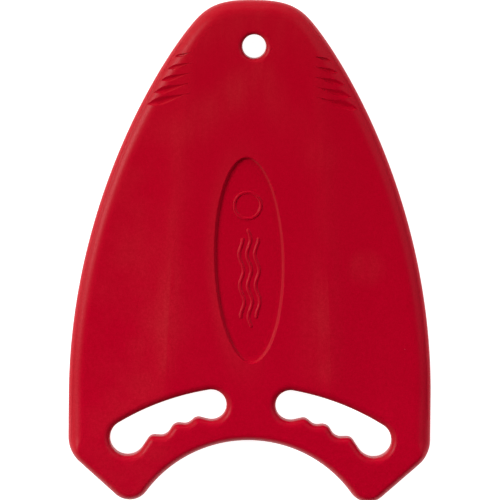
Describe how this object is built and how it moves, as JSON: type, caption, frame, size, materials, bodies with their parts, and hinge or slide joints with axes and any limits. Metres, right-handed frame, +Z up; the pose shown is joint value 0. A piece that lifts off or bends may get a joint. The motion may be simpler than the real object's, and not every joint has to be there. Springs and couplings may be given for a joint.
{
  "type": "swimming kickboard",
  "caption": "Flat foam swimming kickboard with a rounded nose and hang hole, finger-grip hand slots beside a hollowed tail, shoulder grip grooves and an oval recess.",
  "frame": {"origin": "centre of the footprint of the board's bounding box, on the flat bottom face that it rests on", "axes": "+Z up through the thickness to the recessed top face, +Y towards the nose with the hang hole, +X across to the right-hand slot"},
  "size_m": [0.325, 0.45, 0.03],
  "materials": {
    "skin": "satin moulded EVA foam skin with a fine grain, deep red",
    "core": "matt closed-cell foam, duller red"
  },
  "bodies": {
    "root": {"top_skin": "skin", "bottom_skin": "skin", "foam_core": "core"}
  },
  "joints": []
}
